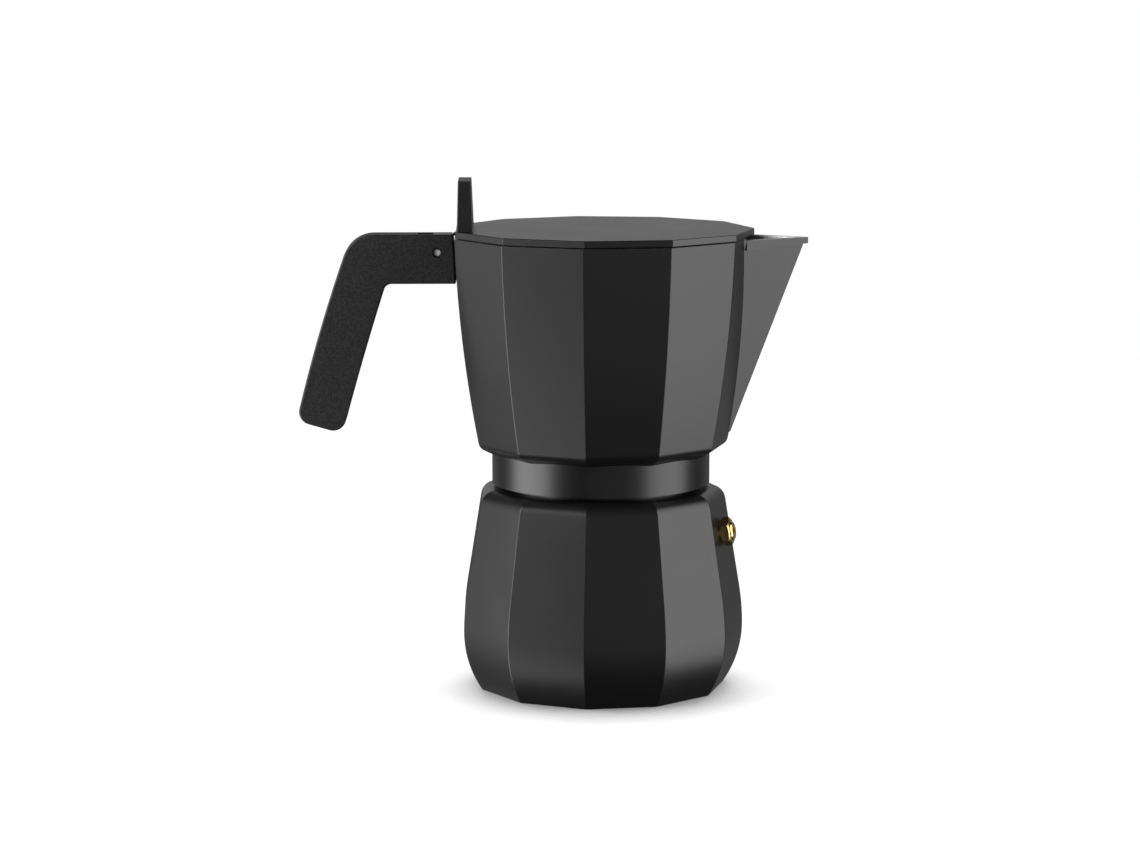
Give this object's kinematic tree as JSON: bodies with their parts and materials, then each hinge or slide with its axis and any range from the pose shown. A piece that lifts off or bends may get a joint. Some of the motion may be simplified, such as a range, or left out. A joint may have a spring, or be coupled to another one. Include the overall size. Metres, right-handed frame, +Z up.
{
  "type": "moka pot",
  "caption": "Eleven-sided stovetop coffee pot with a screw-on jug, hinged flat lid, pointed spout, angled plastic handle and brass safety valve.",
  "frame": {"origin": "centre of the flat base, on the pot's axis", "axes": "+X to the spout, -X to the handle, +Z up along the pot's axis, +Y to the left of the spout"},
  "size_m": [0.1944, 0.1148, 0.1951],
  "materials": {
    "coated_aluminium": "satin black coating on cast aluminium",
    "bare_aluminium": "spun and pressed bare aluminium",
    "black_plastic": "fine-grained moulded plastic",
    "brass": "turned brass",
    "steel": "turned steel",
    "white_rubber": "smooth food-grade silicone"
  },
  "bodies": {
    "boiler": {"boiler": "coated_aluminium", "valve_washer": "brass", "valve_body": "brass", "valve_seat": "brass", "funnel": "bare_aluminium", "funnel_screen": "bare_aluminium"},
    "valve_pin": {"valve_pin": "brass", "valve_spring": "steel"},
    "seal": {"gasket": "white_rubber", "filter_plate": "bare_aluminium"},
    "jug": {"jug": "coated_aluminium", "handle": "black_plastic", "handle_screw": "steel", "hinge_pin": "steel"},
    "lid": {"lid": "coated_aluminium", "knob": "black_plastic", "knob_screws": "steel"}
  },
  "joints": [
    {"name": "jug_rise", "type": "slide", "parent": "boiler", "child": "seal", "axis": [0, 0, 1], "range_m": [0, 0.009]},
    {"name": "jug_turn", "type": "hinge", "parent": "seal", "child": "jug", "pos_m": [0, 0, 0.085], "axis": [0, 0, 1], "range_deg": [0, 1080]},
    {"name": "lid_hinge", "type": "hinge", "parent": "jug", "child": "lid", "pos_m": [-0.0623, 0, 0.1677], "axis": [0, -1, 0], "range_deg": [0, 90]},
    {"name": "valve_lift", "type": "slide", "parent": "boiler", "child": "valve_pin", "axis": [0.9478, -0.2783, 0.1559], "range_m": [0, 0.0012], "stiffness_N_per_m": 400, "springref_m": -0.002, "deforming": ["valve_spring"]}
  ],
  "couplings": [
    {"joint": "jug_rise", "follows": "jug_turn", "m_per_rad": 0.00047746}
  ]
}
